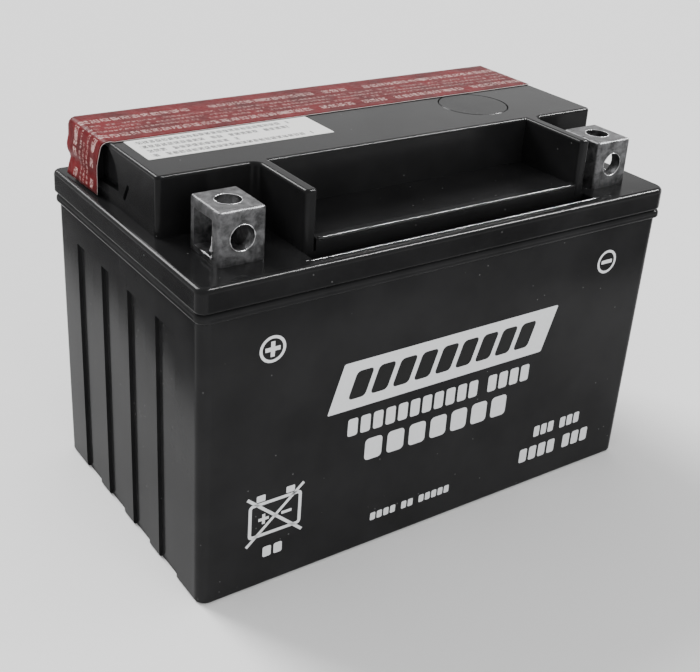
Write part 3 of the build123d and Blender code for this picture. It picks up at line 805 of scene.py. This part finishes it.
def foil_point(run, back):
    """Where a point of the foil lies: run is the way along it from the right end, back 0 to 1."""
    if run <= FLAP_FLAT:
        y = foil_low.y + back * (foil_high.y - foil_low.y)
        crinkle = ripple(run * 95, y * 160, 1.7) + 0.5 * ripple(run * 260, y * 330, 4.1)
        return Vector((foil_high.x - run, y, FOIL_TOP_Z + TOP_CRINKLE * crinkle))
    x = BLOCK_LEFT - FLAP_GAP
    past_fold = run - FLAP_FLAT - FOLD_R * math.pi / 2
    if past_fold <= 0.0:
        angle = (run - FLAP_FLAT) / FOLD_R
        x += FOLD_R * (1 - math.sin(angle))
        z = FOIL_TOP_Z - FOLD_R * (1 - math.cos(angle))
        drop = 0.0
    else:
        z = FOIL_TOP_Z - FOLD_R - past_fold
        drop = past_fold / FLAP_DROP
    y_front = flap_front(z)
    y = y_front + back * (foil_high.y - y_front)
    crinkle = ripple(y * 170, z * 210, 9.3) + 0.6 * ripple(y * 420, z * 300, 2.2)
    x -= flap_bulge(back, drop) + FLAP_CRINKLE * crinkle * min(1.0, drop * 6)
    return Vector((x, y, z))


def foil_sheet():
    """The foil as one crinkled sheet, flat on the block and folded down over its left end."""
    length = FLAP_FLAT + FOLD_R * math.pi / 2 + FLAP_DROP
    across = foil_high.y - foil_low.y
    columns = round(length / FOIL_STEP)
    rows = round(across / FOIL_STEP)
    bm = bmesh.new()
    uv = bm.loops.layers.uv.new("UVMap")
    grid = []
    places = {}
    for i in range(columns + 1):
        run = length * i / columns
        grid.append([bm.verts.new(foil_point(run, j / rows)) for j in range(rows + 1)])
        for j, vert in enumerate(grid[i]):
            places[vert] = (run, across * j / rows)
    for i in range(columns):
        for j in range(rows):
            face = bm.faces.new((grid[i][j], grid[i + 1][j], grid[i + 1][j + 1], grid[i][j + 1]))
            face.smooth = True
            for loop in face.loops:
                loop[uv].uv = places[loop.vert]
    piece = new_piece("foil_sheet", bm, [foil_red, foil_edge, foil_back], body="foil")
    thick = piece.modifiers.new("thickness", "SOLIDIFY")
    thick.thickness = FOIL_SHEET
    thick.offset = 1.0
    thick.material_offset = 2
    thick.material_offset_rim = 1
    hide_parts("foil_seal")


foil_sheet()


# ----------------------------------------------------------- stage and light
FLOOR_REACH = 6.0
WORLD_STRENGTH = 0.85
LIGHTS_AIM = Vector((0.0, 0.0, 0.06))


def flat_piece(name, corners, look):
    """A single flat face over its corner points."""
    bm = bmesh.new()
    bm.faces.new([bm.verts.new(corner) for corner in corners])
    mesh = bpy.data.meshes.new(name)
    bm.to_mesh(mesh)
    bm.free()
    mesh.materials.append(look)
    piece = bpy.data.objects.new(name, mesh)
    bpy.context.scene.collection.objects.link(piece)
    return piece


def stage_floor():
    """The studio floor, level with the object's base."""
    signs = ((-1, -1), (1, -1), (1, 1), (-1, 1))
    corners = [(x * FLOOR_REACH, y * FLOOR_REACH, 0.0) for x, y in signs]
    floor = flat_piece("floor", corners, floor_surface("floor_surface"))


def dark_card(name, start, end, height):
    """A low dark studio card on the floor, in millimetres: only the gloss of the walls sees it."""
    foot = [(x * MM, y * MM, 0.0) for x, y in (start, end)]
    head = [(x * MM, y * MM, height * MM) for x, y in (end, start)]
    card = flat_piece(name, foot + head, card_cloth)
    card.visible_camera = False
    card.visible_diffuse = False
    card.visible_shadow = False


def new_lamp(name, kind, energy, **settings):
    """A lamp in the scene, with plain settings of its light."""
    light = bpy.data.lights.new(name, kind)
    light.energy = energy
    for key, value in settings.items():
        setattr(light, key, value)
    lamp = bpy.data.objects.new(name, light)
    bpy.context.scene.collection.objects.link(lamp)
    return lamp


def softbox(name, place, size, watts, gloss=True):
    """A square area light that faces the object; without gloss it shows in no reflection."""
    lamp = new_lamp(name, "AREA", watts, shape="SQUARE", size=size)
    lamp.location = place
    lamp.rotation_euler = (LIGHTS_AIM - Vector(place)).to_track_quat("-Z", "Y").to_euler()
    lamp.visible_glossy = gloss


def strip_light(name, place, length, width, watts):
    """A long light near parallel with the front edge, facing the object, that shows only as highlights."""
    back = Vector(place).normalized()
    along = (Vector((1.0, 0.0, 0.0)) - back * back.x).normalized()
    lamp = new_lamp(name, "AREA", watts, shape="RECTANGLE", size=length, size_y=width)
    axes = Matrix((along, back.cross(along), back)).transposed()
    lamp.matrix_world = Matrix.Translation(place) @ axes.to_4x4()
    lamp.visible_diffuse = False


def distant_light(name, direction, strength, spread_degrees):
    """Even light from far away, with soft shadows; direction points at the light."""
    lamp = new_lamp(name, "SUN", strength, angle=math.radians(spread_degrees))
    lamp.rotation_euler = Vector(direction).to_track_quat("Z", "Y").to_euler()


def pale_world(strength):
    """An even white surround."""
    world = bpy.data.worlds.new("pale_world")
    world.use_nodes = True
    background = world.node_tree.nodes["Background"]
    background.inputs["Color"].default_value = (1.0, 1.0, 1.0, 1.0)
    background.inputs["Strength"].default_value = strength
    bpy.context.scene.world = world


stage_floor()
pale_world(WORLD_STRENGTH)
distant_light("key", (-0.22, 0.74, 0.64), 4.4, 25.0)
softbox("back", (0.75, 1.05, 0.62), 0.9, 1.2)
softbox("front", (0.15, -1.2, 0.45), 0.8, 6.5, gloss=False)
strip_light("edge", (0.70, -0.24, 0.95), 0.75, 0.10, 60.0)
dark_card("left_card", (-116.0, 20.0), (-136.0, 420.0), 66.0)
dark_card("front_card", (-40.0, -176.0), (330.0, -100.0), 42.0)


# -------------------------------------------------------------------- camera
AZIMUTH, ELEVATION, ROLL = -35.8, 24.13, 3.82
DISTANCE = 349.3 * MM
TARGET = Vector((5.2, 12.7, 57.6)) * MM
SENSOR, FOCAL, SHIFT_Y = 36.0, 59.7, -0.1086
CLIP_START = 0.01


def place_camera():
    """Camera at the photograph's angle: azimuth from the front towards +X, elevation, and roll."""
    azimuth, elevation, roll = (math.radians(degrees) for degrees in (AZIMUTH, ELEVATION, ROLL))
    level = math.cos(elevation)
    back = Vector((math.sin(azimuth) * level, -math.cos(azimuth) * level, math.sin(elevation)))
    right = Vector((math.cos(azimuth), math.sin(azimuth), 0.0))
    up = back.cross(right)
    right_rolled = right * math.cos(roll) + up * math.sin(roll)
    up_rolled = up * math.cos(roll) - right * math.sin(roll)
    data = bpy.data.cameras.new("camera")
    data.sensor_fit = "HORIZONTAL"
    data.sensor_width = SENSOR
    data.lens = FOCAL
    data.shift_y = SHIFT_Y
    data.clip_start = CLIP_START
    camera = bpy.data.objects.new("camera", data)
    axes = Matrix((right_rolled, up_rolled, back)).transposed()
    camera.matrix_world = Matrix.Translation(TARGET + back * DISTANCE) @ axes.to_4x4()
    bpy.context.scene.collection.objects.link(camera)
    bpy.context.scene.camera = camera


place_camera()
